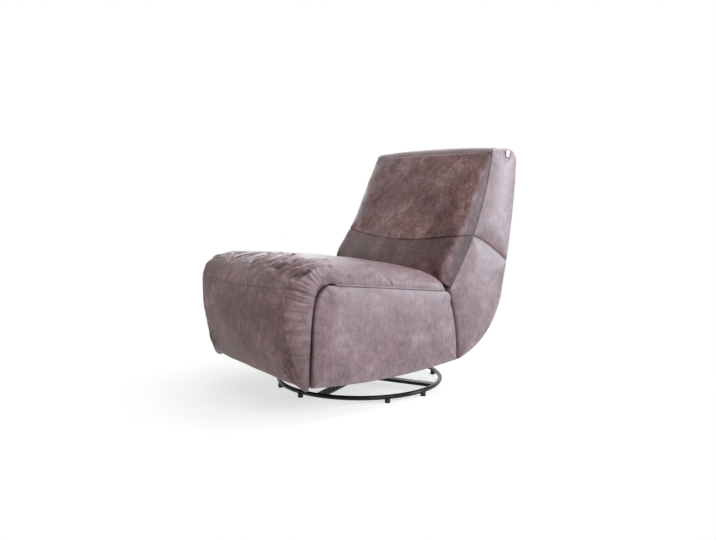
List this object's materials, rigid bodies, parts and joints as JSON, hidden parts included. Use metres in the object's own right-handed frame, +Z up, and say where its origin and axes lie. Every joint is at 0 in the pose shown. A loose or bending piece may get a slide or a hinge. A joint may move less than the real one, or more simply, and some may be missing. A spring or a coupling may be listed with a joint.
{
  "type": "power recliner",
  "caption": "Armless leather power recliner on a swivelling black floor ring: reclining back, padded seat, front flap that lifts as a footrest, driven by electric actuators.",
  "frame": {"origin": "on the floor, on the swivel axis, at the middle of the plan", "axes": "+Z up, the sitter faces -Y, +X is the sitter's left"},
  "size_m": [0.7228, 1.0217, 0.8926],
  "materials": {
    "leather_main": "distressed brown leather with worn lighter mottling, semi-matt",
    "leather_front": "distressed brown leather, creased, semi-matt",
    "black_steel": "black powder coat, satin",
    "grey_steel": "grey enamel, satin",
    "bright_steel": "bright zinc plate",
    "spring_steel": "oiled spring wire",
    "plywood": "raw plywood",
    "timber": "raw beech",
    "nylon": "natural nylon",
    "black_plastic": "moulded black plastic",
    "webbing": "woven elastic",
    "rubber": "moulded rubber, matt",
    "cap_plastic": "moulded caps, satin",
    "zip_metal": "nickel plate"
  },
  "bodies": {
    "base": {"base_ring": "black_steel", "base_cross": "black_steel", "base_hub": "black_steel", "base_feet": "rubber"},
    "backrest": {"back_frame": "grey_steel", "back_spacers": "bright_steel", "back_webbing": "webbing", "back_pad_lower": "leather_front", "back_pad_upper": "leather_front", "back_side_left": "leather_main", "back_side_right": "leather_main", "back_rear_panel": "leather_main", "recline_bush_left": "nylon", "recline_bush_right": "nylon", "zip_pull": "zip_metal"},
    "footrest": {"footrest_pad": "leather_front", "footrest_board": "plywood", "footrest_axle": "grey_steel"},
    "recline_rod": {"recline_rod": "bright_steel"},
    "footrest_rod": {"footrest_rod": "bright_steel"},
    "button_footrest_out": {"button_footrest_out": "cap_plastic"},
    "button_footrest_in": {"button_footrest_in": "cap_plastic"},
    "button_back_down": {"button_back_down": "cap_plastic"},
    "button_back_up": {"button_back_up": "cap_plastic"},
    "chair": {"chassis_member_front": "grey_steel", "chassis_member_middle": "grey_steel", "chassis_member_rear": "grey_steel", "control_box": "black_plastic", "footrest_bush_left": "nylon", "footrest_bush_right": "nylon", "footrest_clevis_pin": "bright_steel", "footrest_motor": "black_plastic", "footrest_motor_bracket": "grey_steel", "footrest_sleeve": "black_plastic", "front_roll": "leather_main", "power_inlet": "black_plastic", "recline_bracket_left": "grey_steel", "recline_bracket_right": "grey_steel", "recline_clevis_pin": "bright_steel", "recline_motor": "black_plastic", "recline_motor_bracket": "grey_steel", "recline_pin_left": "bright_steel", "recline_pin_right": "bright_steel", "recline_sleeve": "black_plastic", "seat_cushion": "leather_main", "seat_rail_front": "timber", "seat_rail_rear": "timber", "seat_springs": "spring_steel", "seat_tail": "leather_main", "side_board_left": "plywood", "side_board_right": "plywood", "side_pad_left": "leather_main", "side_pad_right": "leather_main", "spring_clips": "nylon", "switch_bezel": "black_plastic", "swivel_bolts": "bright_steel", "swivel_bush": "nylon", "swivel_plate": "black_steel", "swivel_washer": "nylon"}
  },
  "joints": [
    {"name": "swivel", "type": "hinge", "parent": "base", "child": "chair", "pos_m": [0, 0, 0.03], "axis": [0, 0, 1], "continuous": true},
    {"name": "recline", "type": "hinge", "parent": "chair", "child": "backrest", "pos_m": [0, 0.184, 0.134], "axis": [-1, 0, 0], "range_deg": [0, 25]},
    {"name": "footrest_lift", "type": "hinge", "parent": "chair", "child": "footrest", "pos_m": [0, -0.352, 0.362], "axis": [-1, 0, 0], "range_deg": [0, 85], "deforming": ["front_roll"]},
    {"name": "recline_rod_slide", "type": "slide", "parent": "chair", "child": "recline_rod", "axis": [0, 1, 0], "range_m": [0, 0.0524]},
    {"name": "footrest_rod_slide", "type": "slide", "parent": "chair", "child": "footrest_rod", "axis": [0, -1, 0], "range_m": [0, 0.0951]},
    {"name": "footrest_out_press", "type": "slide", "parent": "chair", "child": "button_footrest_out", "axis": [1, 0, 0], "range_m": [0, 0.0015], "stiffness_N_per_m": 900, "springref_m": -0.0006},
    {"name": "footrest_in_press", "type": "slide", "parent": "chair", "child": "button_footrest_in", "axis": [1, 0, 0], "range_m": [0, 0.0015], "stiffness_N_per_m": 900, "springref_m": -0.0006},
    {"name": "back_down_press", "type": "slide", "parent": "chair", "child": "button_back_down", "axis": [1, 0, 0], "range_m": [0, 0.0015], "stiffness_N_per_m": 900, "springref_m": -0.0006},
    {"name": "back_up_press", "type": "slide", "parent": "chair", "child": "button_back_up", "axis": [1, 0, 0], "range_m": [0, 0.0015], "stiffness_N_per_m": 900, "springref_m": -0.0006}
  ],
  "couplings": [
    {"joint": "recline_rod_slide", "follows": "recline", "m_per_rad": 0.11905},
    {"joint": "footrest_rod_slide", "follows": "footrest_lift", "m_per_rad": 0.063755}
  ]
}
